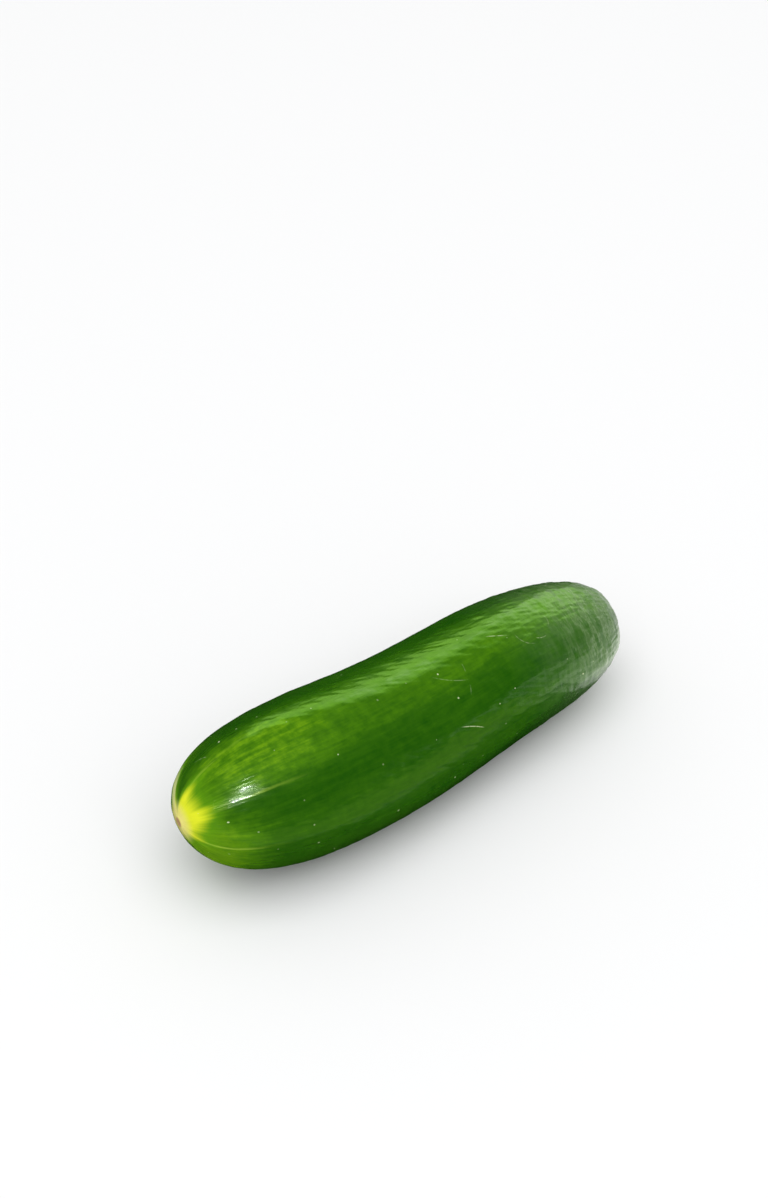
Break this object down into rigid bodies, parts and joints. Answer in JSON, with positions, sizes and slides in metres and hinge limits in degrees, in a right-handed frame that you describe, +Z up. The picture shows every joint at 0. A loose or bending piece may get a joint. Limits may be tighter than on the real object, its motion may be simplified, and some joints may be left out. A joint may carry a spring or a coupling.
{
  "type": "cucumber",
  "caption": "Short smooth-skinned cucumber lying down, gently bent and softly ribbed, fuller at the blossom end, with a blossom scar at one tip and a dished stem scar at the other.",
  "frame": {"origin": "under the middle of the fruit's box, on the surface it lies on", "axes": "+X along the fruit from the blossom end to the stem end, +Y to the side that the blossom end bends to, +Z up"},
  "size_m": [0.1232, 0.0374, 0.0376],
  "materials": {
    "skin": "waxy satin-gloss vegetable skin"
  },
  "bodies": {
    "root": {"cucumber": "skin"}
  },
  "joints": []
}
